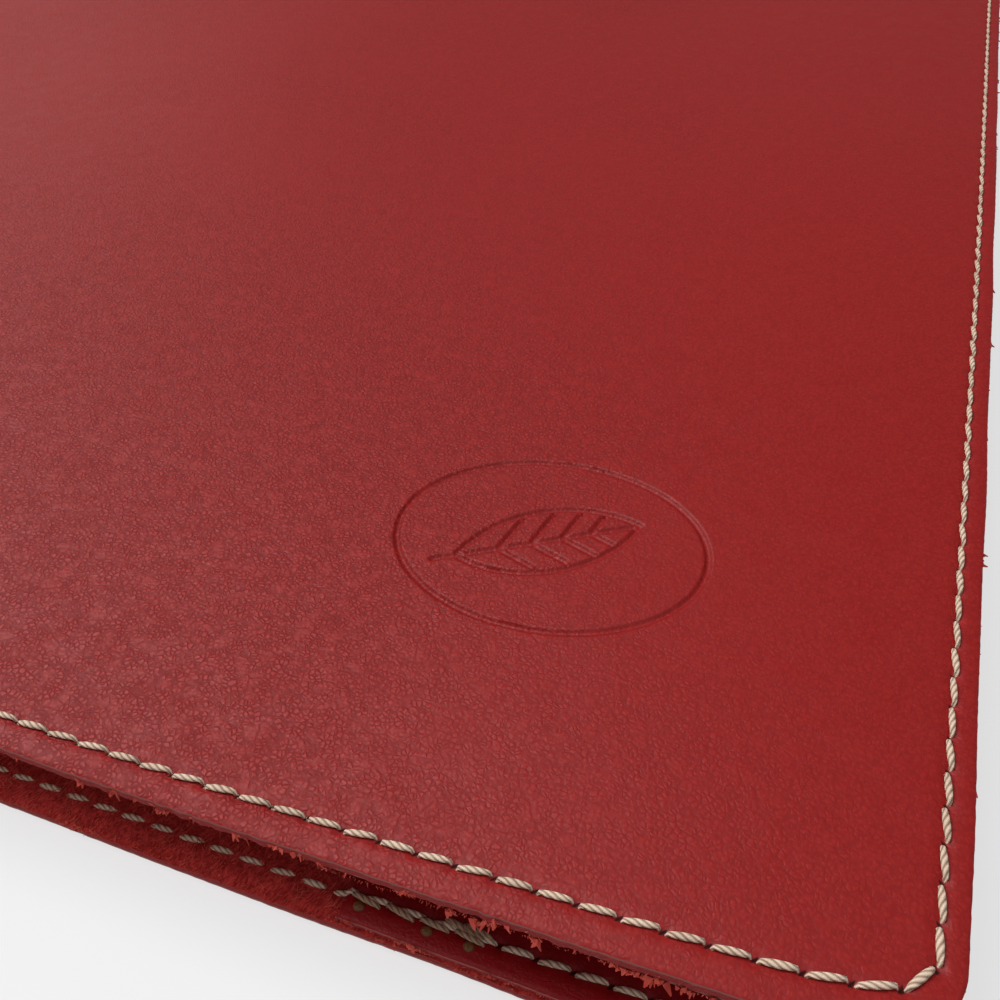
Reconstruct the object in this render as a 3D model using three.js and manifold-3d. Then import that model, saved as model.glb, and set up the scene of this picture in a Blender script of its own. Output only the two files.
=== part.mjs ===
// A sewn leather notebook cover, closed and lying on its back.
//
// One sheet of outer leather folds round the notebook as back, spine and front. A pocket flap is sewn
// inside each fore-edge to hold the notebook's boards. One lockstitch seam runs all the way round: its
// needle thread shows on the outside, its bobbin thread on the inside.
//
// Millimetres, +Z up. X runs from the spine to the fore-edge, Y up the page. The origin is under the
// middle of the closed cover, on the surface that it lies on.

import * as THREE from "three";
import { mergeVertices } from "three/addons/utils/BufferGeometryUtils.js";
import Module from "manifold-3d";

// ---- Overall sizes ----
const coverWidth = 169; // spine's outer face to fore-edge
const coverHeight = 228;
const closedThickness = 12.3;
const cornerRadius = 5.5; // fore-edge corners only

// ---- Leather ----
const outerLeather = 1.0;
const flapLeather = 0.8;
const flapWidth = 37.1; // fore-edge to the pocket's open edge
const layGap = 0.05; // between two sheets that lie on each other
const foldGap = 0.15; // from a fold's axis to the sheet on each side of it

// ---- Seam ----
const stitchPitch = 2.5;
const sideMargin = 1.6; // fore-edge to seam
const endMargin = 2.1; // head or tail edge to seam
const threadWidth = 0.5;
const threadHeight = 0.36;
const grooveDepth = 0.4; // the needle thread pulls down level with the grain side
const grooveWidth = 0.65;
const threadFoldClearance = 0.4; // bobbin threads on two sides of a fold stay this far apart
const backtackStitches = 4; // stitches sewn over again where the seam starts and ends
const backtackInset = 0.5; // from the flap's edge to the first of them
const backtackWidth = 0.8;
const backtackHeight = 0.28;

// ---- Derived places ----
const spineOutside = -coverWidth / 2;
const foldX = spineOutside + outerLeather; // inner corner of both folds
const panelStart = foldX + foldGap;
const foreEdge = coverWidth / 2;
const halfHeight = coverHeight / 2;
const seamX = foreEdge - sideMargin;
const seamY = halfHeight - endMargin;
const seamCornerCut = (cornerRadius - sideMargin) * 0.58;
const flapEdge = foreEdge - flapWidth;
const flapBottom = outerLeather + layGap;
const flapTop = flapBottom + flapLeather;
const bobbinLift = 0.02; // thread lies on the leather without cutting into it
const bobbinOnPanel = outerLeather + bobbinLift;
const bobbinOnFlap = flapTop + bobbinLift;
const bobbinTop = bobbinOnFlap + threadHeight;

// ---- Materials ----
const leather = (color, roughness) => new THREE.MeshStandardMaterial({ color, roughness, metalness: 0 });
const grainLeather = () => leather("#8e2a2c", 0.5);
const flapGrainLeather = () => leather("#82201f", 0.5);
const waxedThread = () => leather("#d9b597", 0.7);

const wasm = await Module();
wasm.setup();

function toSolid(geometry) {
  const bare = geometry.clone();
  bare.deleteAttribute("normal");
  bare.deleteAttribute("uv");
  const merged = mergeVertices(bare, 1e-4);
  const vertProperties = new Float32Array(merged.attributes.position.array);
  const triVerts = new Uint32Array(merged.index.array);
  return new wasm.Manifold(new wasm.Mesh({ numProp: 3, vertProperties, triVerts }));
}

function toGeometry(solid) {
  const result = solid.getMesh();
  const geometry = new THREE.BufferGeometry();
  geometry.setAttribute("position", new THREE.BufferAttribute(new Float32Array(result.vertProperties), 3));
  geometry.setIndex(new THREE.BufferAttribute(new Uint32Array(result.triVerts), 1));
  geometry.computeVertexNormals();
  return geometry;
}

const cut = (body, ...tools) => toGeometry(tools.reduce((a, b) => a.subtract(toSolid(b)), toSolid(body)));
const join = (first, ...others) => toGeometry(others.reduce((a, b) => a.add(toSolid(b)), toSolid(first)));

// A block given by its low and high corners.
function block([x0, y0, z0], [x1, y1, z1]) {
  const geometry = new THREE.BoxGeometry(x1 - x0, y1 - y0, z1 - z0);
  return geometry.translate((x0 + x1) / 2, (y0 + y1) / 2, (z0 + z1) / 2);
}

// A flat sheet from startX to the fore-edge, with both fore-edge corners rounded.
function sheet(startX, bottom, thickness) {
  const outline = new THREE.Shape();
  outline.moveTo(startX, -halfHeight);
  outline.lineTo(foreEdge - cornerRadius, -halfHeight);
  outline.absarc(foreEdge - cornerRadius, -halfHeight + cornerRadius, cornerRadius, -Math.PI / 2, 0);
  outline.lineTo(foreEdge, halfHeight - cornerRadius);
  outline.absarc(foreEdge - cornerRadius, halfHeight - cornerRadius, cornerRadius, 0, Math.PI / 2);
  outline.lineTo(startX, halfHeight);
  const options = { depth: thickness, bevelEnabled: false, curveSegments: 10 };
  return new THREE.ExtrudeGeometry(outline, options).translate(0, 0, bottom);
}

// A band centred on the seam line, from startX round the fore-edge and back, with its corners cut off
// where one stitch crosses from the end seam to the side seam.
function seamBand(startX, width, bottom, height) {
  const side = (offset) => {
    const slide = offset * Math.tan(Math.PI / 8);
    return [
      [startX, -seamY - offset],
      [seamX - seamCornerCut + slide, -seamY - offset],
      [seamX + offset, -seamY + seamCornerCut - slide],
      [seamX + offset, seamY - seamCornerCut + slide],
      [seamX - seamCornerCut + slide, seamY + offset],
      [startX, seamY + offset],
    ];
  };
  const points = [...side(width / 2), ...side(-width / 2).reverse()];
  const outline = new THREE.Shape(points.map(([x, y]) => new THREE.Vector2(x, y)));
  const options = { depth: height, bevelEnabled: false };
  return new THREE.ExtrudeGeometry(outline, options).translate(0, 0, bottom);
}

function piece(name, geometry, material) {
  const mesh = new THREE.Mesh(geometry, material);
  mesh.name = name;
  return mesh;
}

// ---- Back or front: modelled lying grain side down, with its flap on top ----

function panelGeometry() {
  const groove = seamBand(panelStart - 1, grooveWidth, -1, 1 + grooveDepth);
  return cut(sheet(panelStart, 0, outerLeather), groove);
}

function needleThreadGeometry() {
  return seamBand(panelStart, threadWidth, grooveDepth - threadHeight, threadHeight);
}

// Lies on the flap, steps down at the flap's edge and runs on to the fold on the bare flesh side.
function bobbinThreadGeometry() {
  const stepEnd = flapEdge - layGap;
  const stepStart = stepEnd - threadHeight;
  const onFlap = seamBand(stepStart, threadWidth, bobbinOnFlap, threadHeight);
  const legs = [-seamY, seamY].flatMap((y) => {
    const [low, high] = [y - threadWidth / 2, y + threadWidth / 2];
    const start = foldX + bobbinLift + threadHeight + threadFoldClearance;
    return [
      block([start, low, bobbinOnPanel], [stepEnd, high, bobbinOnPanel + threadHeight]),
      block([stepStart, low, bobbinOnPanel], [stepEnd, high, bobbinTop]),
    ];
  });
  return join(onFlap, ...legs);
}

function coverHalf(side) {
  const half = new THREE.Group();
  half.add(
    piece(`${side}_panel`, panelGeometry(), grainLeather()),
    piece(`${side}_pocket_flap`, sheet(flapEdge, flapBottom, flapLeather), flapGrainLeather()),
    piece(`${side}_needle_thread`, needleThreadGeometry(), waxedThread()),
    piece(`${side}_bobbin_thread`, bobbinThreadGeometry(), waxedThread()),
  );
  return half;
}

const back = coverHalf("back");

// The front is the same cut turned over, so its grain side faces up.
const front = coverHalf("front");
front.rotation.x = Math.PI;
front.position.z = closedThickness;

// ---- Backtack: the stitches sewn over again at the tail of the back, just inside the flap's edge ----

function backtack(name, bottom) {
  const start = flapEdge + backtackInset;
  const end = start + backtackStitches * stitchPitch;
  const low = -seamY - backtackWidth / 2;
  return piece(
    name,
    block([start, low, bottom], [end, low + backtackWidth, bottom + backtackHeight]),
    waxedThread(),
  );
}

back.add(backtack("back_tail_backtack", bobbinTop + bobbinLift));

// ---- Spine: stands between the two folds ----

const spineBottom = outerLeather + foldGap;
const spineTop = closedThickness - outerLeather - foldGap;

function spineGeometry() {
  const body = block([spineOutside, -halfHeight, spineBottom], [foldX, halfHeight, spineTop]);
  const grooves = [-seamY, seamY].map((y) => {
    const low = [spineOutside - 1, y - grooveWidth / 2, spineBottom - 1];
    return block(low, [spineOutside + grooveDepth, y + grooveWidth / 2, spineTop + 1]);
  });
  return cut(body, ...grooves);
}

const spine = new THREE.Group();
spine.add(piece("spine_panel", spineGeometry(), grainLeather()));

for (const [end, y] of [["tail", -seamY], ["head", seamY]]) {
  const [low, high] = [y - threadWidth / 2, y + threadWidth / 2];
  const needleX = spineOutside + grooveDepth - threadHeight;
  const needle = block([needleX, low, spineBottom], [needleX + threadHeight, high, spineTop]);
  const bobbinX = foldX + bobbinLift;
  const inset = bobbinLift + threadHeight + threadFoldClearance;
  const bobbinFrom = [bobbinX, low, outerLeather + inset];
  const bobbinTo = [bobbinX + threadHeight, high, closedThickness - outerLeather - inset];
  spine.add(
    piece(`spine_needle_thread_${end}`, needle, waxedThread()),
    piece(`spine_bobbin_thread_${end}`, block(bobbinFrom, bobbinTo), waxedThread()),
  );
}

const notebookCover = new THREE.Group();
notebookCover.add(back, spine, front);

export default notebookCover;
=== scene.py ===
import functools
import math

import bpy
import numpy as np
from mathutils import Matrix, Vector


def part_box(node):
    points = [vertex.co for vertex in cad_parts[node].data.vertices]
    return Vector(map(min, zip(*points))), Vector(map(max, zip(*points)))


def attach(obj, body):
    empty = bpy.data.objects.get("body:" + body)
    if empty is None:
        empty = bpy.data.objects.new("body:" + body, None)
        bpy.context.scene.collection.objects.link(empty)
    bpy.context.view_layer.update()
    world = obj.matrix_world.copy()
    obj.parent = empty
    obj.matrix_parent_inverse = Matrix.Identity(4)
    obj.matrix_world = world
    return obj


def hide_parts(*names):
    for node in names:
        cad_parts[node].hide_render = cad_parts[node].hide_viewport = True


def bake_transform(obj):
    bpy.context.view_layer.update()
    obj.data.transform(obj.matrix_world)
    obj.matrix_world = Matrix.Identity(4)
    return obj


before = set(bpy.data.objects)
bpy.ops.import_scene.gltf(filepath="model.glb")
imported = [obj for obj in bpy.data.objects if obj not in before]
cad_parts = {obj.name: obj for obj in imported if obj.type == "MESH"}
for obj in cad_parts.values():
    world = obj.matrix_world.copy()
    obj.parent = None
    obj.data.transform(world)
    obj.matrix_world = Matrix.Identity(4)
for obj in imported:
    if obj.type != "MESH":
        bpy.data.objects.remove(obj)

bl_info = {
    "name": "Leather notebook cover",
    "version": (1, 0, 0),
    "blender": (4, 5, 0),
    "location": "3D View > Sidebar > Notebook Cover",
    "description": "Builds a stitched leather notebook cover round its packed frame",
    "category": "Object",
}

MM = 0.001

# ---- Places read from the frame ----
BACK_LOW, BACK_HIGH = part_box("back_panel")
FRONT_LOW, FRONT_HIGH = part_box("front_panel")
SPINE_LOW, SPINE_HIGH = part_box("spine_panel")
FLAP_LOW, FLAP_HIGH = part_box("back_pocket_flap")
TACK_LOW, TACK_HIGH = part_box("back_tail_backtack")
SEAM_LOW, SEAM_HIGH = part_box("back_needle_thread")

FORE_EDGE = BACK_HIGH.x
HALF_HEIGHT = BACK_HIGH.y
CLOSED = FRONT_HIGH.z
LEATHER = BACK_HIGH.z - BACK_LOW.z
FLAP_GAP = FLAP_LOW.z - BACK_HIGH.z
FLAP_LEATHER = FLAP_HIGH.z - FLAP_LOW.z
FLAP_WIDTH = FORE_EDGE - FLAP_LOW.x
SPINE_OUTSIDE = SPINE_LOW.x

# ---- Form of the closed cover ----
FOLD_RADIUS = 2.0 * MM  # outside of both folds
STRAIGHT = FORE_EDGE - SPINE_OUTSIDE - FOLD_RADIUS  # fore-edge to the start of a fold
FOLD_LENGTH = FOLD_RADIUS * math.pi / 2
GIRTH = STRAIGHT + FOLD_LENGTH + CLOSED / 2 - FOLD_RADIUS  # fore-edge to the middle of the spine
CORNER_RADIUS = 5.5 * MM
FOLD_SPREAD = 1.4 * MM  # how far each side of a fold the leather still turns
EMBLEM_PLACE = (31.6 * MM, 29.3 * MM - HALF_HEIGHT)  # from the fore-edge, up the page
FLOOR_DROP = 0.4 * MM  # the thread under the back holds the leather off the table


def linear(hex_colour):
    """An sRGB hex colour as linear red, green, blue and alpha."""
    parts = [int(hex_colour[i : i + 2], 16) / 255 for i in (1, 3, 5)]
    return tuple(c / 12.92 if c <= 0.04045 else ((c + 0.055) / 1.055) ** 2.4 for c in parts) + (1.0,)


def length(name, description, default):
    return bpy.props.FloatProperty(
        name=name, description=description, default=default, unit="LENGTH", precision=5
    )


def colour(name, description, hex_colour):
    return bpy.props.FloatVectorProperty(
        name=name,
        description=description,
        default=linear(hex_colour),
        size=4,
        min=0,
        max=1,
        subtype="COLOR",
    )


class CoverSizes(bpy.types.PropertyGroup):
    pitch: length("Stitch pitch", "Hole to hole along the seam", 2.5 * MM)
    thread: length("Thread diameter", "Three-ply waxed thread", 0.47 * MM)
    side_margin: length("Side margin", "Fore-edge to seam", FORE_EDGE - SEAM_HIGH.x + 0.25 * MM)
    end_margin: length("End margin", "Head or tail edge to seam", HALF_HEIGHT - SEAM_HIGH.y + 0.25 * MM)
    seam_press: length("Seam press", "How deep the tight thread draws the leather in", 0.08 * MM)
    hole_press: length("Hole press", "Extra depth at each needle hole", 0.27 * MM)
    dip: length("Front dip", "How far the empty front sags behind its flap", 1.84 * MM)
    dip_span: length("Dip span", "Fore-edge seam to the dip's far end", 110 * MM)
    rise: length("Front rise", "How far the fore-edge bows up in its tail half", 0.72 * MM)
    rise_span: length("Rise span", "Tail seam to the rise's far end", 172 * MM)
    deboss: length("Deboss depth", "Depth of the pressed emblem", 0.24 * MM)
    nap: length("Nap length", "Longest fibres of the flesh side", 0.7 * MM)


class CoverColours(bpy.types.PropertyGroup):
    grain: colour("Grain side", "Pull-up leather where it is relaxed", "#9C201C")
    grain_deep: colour("Grain side, oiled", "The same leather where it is tight", "#981E1B")
    # Painted shade: the dark red laid into creases and grain hollows. The cut edge also uses it for its
    # darkest fibres.
    crease: colour("Crease", "Dye gathered in creases", "#720607")
    # Darker than the outer grain: partly the flaps' own smooth leather, partly painted shade for the flap
    # lying inside the cover.
    flap: colour("Flap", "Smooth leather of the pocket flaps", "#8E0A14")
    flesh: colour("Flesh side", "Suede inside the cover", "#CE4340")
    flesh_deep: colour("Flesh side, matted", "Suede where the nap lies down", "#8E1A18")
    # Partly the edge's tight grain, partly a painted highlight along the bevel at the top of the cut.
    cut: colour("Cut edge", "Tight grain of the raw edge", "#93504A")
    fibre: colour("Loose fibre", "Fibres that stand off the cut edges", "#CC5344")
    thread: colour("Thread", "Waxed cream thread", "#F0D6BB")
    # Painted shade between the plies. The same colour also darkens the thread where there is dust and soil.
    thread_ply_shade: colour("Thread, between plies", "Wax and dust between the plies", "#7C543F")
    # Partly soiling, partly painted shade: the backtack lies inside the cover.
    tack: colour("Backtack", "The same thread where handling has soiled it", "#B9967A")
    wax: colour("Edge wax", "Brown wax that dripped beside the backtack", "#6E4420")
    floor: colour("Floor", "Light of the pale studio floor", "#F4F4F4")


# ---- Materials ----

# Settings that repeat. A colour Mix takes its factor at 0 and its colours at 6 and 7.
COLOUR_MIX = {"out": 2, "data_type": "RGBA"}
EASED = {"interpolation_type": "SMOOTHSTEP"}


def add_node(tree, kind, inputs=(), out=0, **settings):
    """Adds a node with its settings, links or sets its inputs by place or name, and returns one output."""
    node = tree.nodes.new(f"ShaderNode{kind}")
    for key, value in settings.items():
        setattr(node, key, value)
    for key, value in inputs.items() if isinstance(inputs, dict) else enumerate(inputs):
        if isinstance(value, bpy.types.NodeSocket):
            tree.links.new(value, node.inputs[key])
        else:
            node.inputs[key].default_value = value
    return node.outputs[out] if node.outputs else node


def new_material(name):
    """An empty material, and add_node on its tree."""
    material = bpy.data.materials.new(name)
    material.use_nodes = True
    material.node_tree.nodes.clear()
    return material, functools.partial(add_node, material.node_tree)


def flat_place_mm(add):
    """Where on the flat leather, in millimetres: from the fore-edge, up the page, below the grain."""
    place = add("Attribute", out="Vector", attribute_name="flat_place")
    return add("VectorMath", {0: place, "Scale": 1 / MM}, operation="SCALE")


def object_mm(add):
    place = add("TexCoord", out="Object")
    return add("VectorMath", {0: place, "Scale": 1 / MM}, operation="SCALE")


def wander(add, place, size, amount):
    """The same place pushed about by up to amount, so that cells and lines lose their straightness."""
    stir = add("TexNoise", {"Vector": place, "Scale": 1 / size, "Detail": 2.0}, out="Color")
    centred = add("VectorMath", (stir, (0.5, 0.5, 0.5)), operation="SUBTRACT")
    push = add("VectorMath", {0: centred, "Scale": amount}, operation="SCALE")
    return add("VectorMath", (place, push), operation="ADD")


def needle_cuts(add):
    """1 in each hole and in the short slanting cut of the knife-point needle, 0 elsewhere."""
    seam = add("Attribute", out="Vector", attribute_name="seam_place")
    axes = add("SeparateXYZ", (seam,))
    along, across, nearest = axes, axes.node.outputs[1], axes.node.outputs[2]
    from_hole = add("Math", (along, add("Math", (along,), operation="ROUND")), operation="SUBTRACT")
    squares = []
    for direction, narrowness in (("ADD", 6.5), ("SUBTRACT", 20.0)):
        way = add("Math", (from_hole, across), operation=direction)
        way = add("Math", (way, narrowness), operation="MULTIPLY")
        squares.append(add("Math", (way, way), operation="MULTIPLY"))
    reach = add("Math", squares, operation="ADD")
    cut = add("MapRange", (reach, 1.6, 0.6, 0.0, 1.0), **EASED)
    hole = add("MapRange", (nearest, 0.27 * MM, 0.12 * MM, 0.0, 1.0), **EASED)
    return add("Math", (cut, hole), operation="MAXIMUM")


def grain_leather_material(name, relaxed, tight, crease_shade_colour, slackness, wax):
    """Pull-up leather: vegetable tanned, drum dyed and waxed, grain side out. The wax gives a soft broad
    gloss, the hide a pebble of about 0.3 mm and creases under 0.5 mm apart, which open where it is slack.
    Creases and the hollows between pebbles are darkened with painted shade, deeper where it is slack."""
    material, add = new_material(name)
    place = flat_place_mm(add)
    axes = add("SeparateXYZ", (place,))
    towards_spine = add("MapRange", (axes, 4.0, 62.0, 0.0, 1.0), **EASED)
    up_page = axes.node.outputs[1]
    towards_tail = add("MapRange", (up_page, -20.0, -100.0, 0.25, 1.0), **EASED)
    patches = add("TexNoise", {"Vector": place, "Scale": 1 / 27, "Detail": 2.0})
    slack = add("Math", (towards_spine, towards_tail), operation="MULTIPLY")
    slack = add("Math", (patches, 0.7, slack), operation="MULTIPLY_ADD")
    slack = add("MapRange", (slack, 0.28, 1.15, 0.0, slackness), **EASED)

    crooked = wander(add, place, 1.0, 0.34)
    fine = add("TexVoronoi", {"Vector": crooked, "Scale": 1 / 0.38}, feature="DISTANCE_TO_EDGE")
    fine = add("MapRange", (fine, 0.0, 0.26, 0.0, 1.0), **EASED)
    long = add("TexVoronoi", {"Vector": crooked, "Scale": 1 / 1.5}, feature="DISTANCE_TO_EDGE")
    long = add("MapRange", (long, 0.0, 0.07, 0.0, 1.0), **EASED)
    broken = add("TexNoise", {"Vector": place, "Scale": 1 / 1.3, "Detail": 3.0})
    broken = add("MapRange", (broken, 0.4, 0.7, 0.0, 0.8), **EASED)
    fine = add("Math", (fine, broken), operation="MAXIMUM")
    long = add("Math", (long, add("Math", (1.0, broken), operation="SUBTRACT")), operation="MAXIMUM")
    smooth = add("Math", (fine, long), operation="MULTIPLY")
    pebble = add("TexVoronoi", {"Vector": crooked, "Scale": 1 / 0.27}, feature="SMOOTH_F1")
    pebble = add("MapRange", (pebble, 0.0, 0.75, 1.0, 0.0))
    pores = add("TexNoise", {"Vector": place, "Scale": 1 / 0.13, "Detail": 3.0, "Roughness": 0.6})
    swell = add("TexNoise", {"Vector": place, "Scale": 1 / 5.5, "Detail": 3.0})
    mottle = add("TexNoise", {"Vector": place, "Scale": 1 / 9, "Detail": 4.0, "Roughness": 0.55})
    gloss = add("TexNoise", {"Vector": place, "Scale": 1 / 3, "Detail": 3.0})

    # Painted shade: creases and pebble hollows are darkened towards the crease colour, more where the leather
    # is slack.
    crease_shade_depth = add("MapRange", (slack, 0.0, 1.0, 0.32, 0.86))
    creases = add("Math", (1.0, smooth), operation="SUBTRACT")
    creases = add("Math", (creases, crease_shade_depth), operation="MULTIPLY")
    base = add("Mix", {0: slack, 6: tight, 7: relaxed}, **COLOUR_MIX)
    base = add("Mix", {0: add("MapRange", (mottle, 0.3, 0.7, 0.0, 0.45)), 6: base, 7: tight}, **COLOUR_MIX)
    hollow_shade = add("MapRange", (pebble, 0.75, 0.2, 0.0, 0.3))
    base = add("Mix", {0: hollow_shade, 6: base, 7: crease_shade_colour}, **COLOUR_MIX)
    base = add("Mix", {0: creases, 6: base, 7: crease_shade_colour}, **COLOUR_MIX)
    # Painted shade: needle holes and their slanting cuts go nearly black and lose their gloss.
    hole_shade = add("Math", (needle_cuts(add), 0.88), operation="MULTIPLY")
    base = add("Mix", {0: hole_shade, 6: base, 7: linear("#120203")}, **COLOUR_MIX)

    relief = add("Bump", {"Height": swell, "Distance": 0.09 * MM})
    opened = add("MapRange", (slack, 0.0, 1.0, 0.35, 1.0))
    crease = {"Height": smooth, "Distance": 0.022 * MM, "Strength": opened, "Normal": relief}
    relief = add("Bump", crease)
    standing = add("MapRange", (slack, 0.0, 1.0, 0.4, 0.9))
    relief = add("Bump", {"Height": pebble, "Distance": 0.033 * MM, "Strength": standing, "Normal": relief})
    relief = add("Bump", {"Height": pores, "Distance": 0.014 * MM, "Strength": 0.7, "Normal": relief})
    rough = add("MapRange", (gloss, 0.3, 0.7, 0.38, 0.48))
    rough = add("Math", (creases, 0.2, rough), operation="MULTIPLY_ADD")
    rough = add("Math", (rough, hole_shade), operation="MAXIMUM")
    shader = {"Base Color": base, "Roughness": rough, "Normal": relief, "Specular IOR Level": wax}
    add("OutputMaterial", (add("BsdfPrincipled", shader),))
    return material


def suede_material(name, raised, matted):
    """Flesh side of the same hide: open nap with no wax, so no gloss, a soft rim of light from the standing
    fibres, and streaks where they lie over each other."""
    material, add = new_material(name)
    place = flat_place_mm(add)
    stirred = wander(add, place, 2.0, 1.1)
    brushed = add("Mapping", (stirred, (0, 0, 0), (0, 0, 0.35), (0.55, 1.6, 1.0)), vector_type="TEXTURE")
    strands = {"Vector": brushed, "Scale": 1 / 0.26, "Detail": 4.0, "Roughness": 0.7, "Distortion": 0.4}
    strands = add("TexNoise", strands)
    tufts = add("TexNoise", {"Vector": place, "Scale": 1 / 0.85, "Detail": 4.0, "Roughness": 0.65})
    stain = add("TexNoise", {"Vector": place, "Scale": 1 / 7, "Detail": 3.0})
    share = add("MapRange", (strands, 0.38, 0.64, 0.0, 1.0))
    lift = add("MapRange", (tufts, 0.35, 0.7, -0.3, 0.3))
    share = add("Math", (share, lift), operation="ADD", use_clamp=True)
    base = add("Mix", {0: share, 6: matted, 7: raised}, **COLOUR_MIX)
    base = add("Mix", {0: add("MapRange", (stain, 0.45, 0.75, 0.0, 0.35)), 6: base, 7: matted}, **COLOUR_MIX)
    relief = add("Bump", {"Height": tufts, "Distance": 0.28 * MM, "Strength": 0.9})
    relief = add("Bump", {"Height": strands, "Distance": 0.13 * MM, "Normal": relief})
    shader = {"Base Color": base, "Roughness": 0.95, "Normal": relief, "Specular IOR Level": 0.12}
    shader |= {"Sheen Weight": 0.35, "Sheen Roughness": 0.55, "Sheen Tint": linear("#E06A5C")}
    add("OutputMaterial", (add("BsdfPrincipled", shader),))
    return material


def cut_edge_material(name, pale, torn, deep):
    """Raw knife-cut edge of dyed leather: a pinkish grey line at the top, partly its tight grain and partly a
    painted highlight along the bevel, and loose layered fibres below it."""
    material, add = new_material(name)
    place = object_mm(add)
    layers = add("Mapping", {"Vector": place, "Scale": (1.8, 1.8, 0.5)}, vector_type="TEXTURE")
    strands = add("TexNoise", {"Vector": layers, "Scale": 1 / 0.18, "Detail": 4.0, "Roughness": 0.7})
    depth = add("SeparateXYZ", (flat_place_mm(add),), out=2)
    # The pale top line of the cut: tight grain with a painted highlight.
    below_grain = add("MapRange", (depth, 0.26, 0.45, 0.0, 1.0), **EASED)
    share = add("MapRange", (strands, 0.35, 0.65, 0.0, 1.0))
    core = add("Mix", {0: share, 6: deep, 7: torn}, **COLOUR_MIX)
    base = add("Mix", {0: below_grain, 6: pale, 7: core}, **COLOUR_MIX)
    relief = add("Bump", {"Height": strands, "Distance": 0.1 * MM})
    shader = {"Base Color": base, "Roughness": 0.85, "Normal": relief, "Specular IOR Level": 0.25}
    add("OutputMaterial", (add("BsdfPrincipled", shader),))
    return material


def thread_material(name, pale, deep):
    """Bonded polyester thread, three plies twisted and waxed: cream gone a little grey with handling, faintly
    shiny, with painted shade between the plies and specks of dust."""
    material, add = new_material(name)
    place = object_mm(add)
    turn = add("Attribute", out="Vector", attribute_name="ply_turn")
    axes = add("SeparateXYZ", (turn,))
    around = add("Math", (axes.node.outputs[1], axes), operation="ARCTAN2")
    phase = add("Math", (around, 3.0, axes.node.outputs[2]), operation="MULTIPLY_ADD")
    crest = add("Math", (add("Math", (phase,), operation="COSINE"), 0.5, 0.5), operation="MULTIPLY_ADD")
    crest = add("Math", (crest, 0.6), operation="POWER")
    lint = add("TexNoise", {"Vector": place, "Scale": 1 / 0.1, "Detail": 3.0, "Roughness": 0.7})
    soil = add("TexNoise", {"Vector": place, "Scale": 1 / 3.5})
    # Painted shade between the plies, plus random soiling.
    dark = add("MapRange", (crest, 0.75, 0.05, 0.0, 0.62), **EASED)
    dark = add("Math", (dark, add("MapRange", (soil, 0.45, 0.75, 0.0, 0.3))), operation="ADD", use_clamp=True)
    base = add("Mix", {0: dark, 6: pale, 7: deep}, **COLOUR_MIX)
    dusty = add("MapRange", (lint, 0.4, 0.8, 0.0, 0.25))
    base = add("Mix", {0: dusty, 6: base, 7: deep}, **COLOUR_MIX)
    relief = add("Bump", {"Height": crest, "Distance": 0.1 * MM})
    relief = add("Bump", {"Height": lint, "Distance": 0.024 * MM, "Strength": 0.7, "Normal": relief})
    shader = {"Base Color": base, "Roughness": 0.6, "Normal": relief, "Specular IOR Level": 0.35}
    add("OutputMaterial", (add("BsdfPrincipled", shader | {"Sheen Weight": 0.1}),))
    return material


def fibre_material(name, bright, dull):
    """Single collagen fibres, dyed through and without wax: matt, each tuft its own tone."""
    material, add = new_material(name)
    tone = add("TexNoise", {"Vector": object_mm(add), "Scale": 1 / 1.4})
    tone = add("MapRange", (tone, 0.35, 0.7, 0.0, 0.8))
    base = add("Mix", {0: tone, 6: bright, 7: dull}, **COLOUR_MIX)
    shader = {"Base Color": base, "Roughness": 0.8, "Specular IOR Level": 0.2}
    add("OutputMaterial", (add("BsdfPrincipled", shader),))
    return material


def wax_material(name, brown):
    """Beeswax that took up brown edge dye: dark, lumpy and a little shiny."""
    material, add = new_material(name)
    lumps = add("TexNoise", {"Vector": object_mm(add), "Scale": 1 / 0.2, "Detail": 3.0})
    relief = add("Bump", {"Height": lumps, "Distance": 0.1 * MM})
    shader = {"Base Color": brown, "Roughness": 0.45, "Normal": relief, "Specular IOR Level": 0.4}
    add("OutputMaterial", (add("BsdfPrincipled", shader),))
    return material


# ---- From the flat pattern to the closed cover ----


def bow(x, y):
    """How far the empty front stands off level. It sags behind the flap and rises in its tail half."""
    sizes = bpy.context.scene.cover_sizes
    from_seam = np.clip(FORE_EDGE - sizes.side_margin - x, 0, sizes.dip_span)
    up_page = np.clip((y + HALF_HEIGHT - sizes.end_margin) / sizes.rise_span, 0, 1)
    sag = (1 - np.cos(2 * math.pi * from_seam / sizes.dip_span)) / 2
    swell = (1 - np.cos(2 * math.pi * up_page)) / 2 * np.cos(math.pi / 2 * from_seam / sizes.dip_span) ** 2
    return sizes.rise * swell - sizes.dip * sag


def lie(half, p, q, n):
    """Takes the flat pattern to the closed cover. p runs from the fore-edge over the panel and round the fold
    to the middle of the spine, q up the page, and n down into the leather from its grain side."""
    p, q, n = np.broadcast_arrays(*(np.asarray(a, float) for a in (p, q, n)))
    turn = np.clip((p - STRAIGHT) / FOLD_RADIUS, 0, math.pi / 2)
    x = FORE_EDGE - np.minimum(p, STRAIGHT) - (FOLD_RADIUS - n) * np.sin(turn)
    z = FOLD_RADIUS - (FOLD_RADIUS - n) * np.cos(turn) + np.maximum(p - STRAIGHT - FOLD_LENGTH, 0)
    if half == "front":
        z = CLOSED - z + bow(x, q)
    return np.stack([x, q, z], axis=-1)


def bend_with_fold(piece, half):
    """Bakes the piece's place into its mesh. A spread about the fold is worked out for each half, but nothing
    uses it.
    """
    spread = Vector((-FOLD_SPREAD, 0, FOLD_SPREAD))
    if half == "back":
        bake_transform(piece)
    else:
        spread.z = -spread.z
        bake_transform(piece)


# ---- The seam ----


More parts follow.
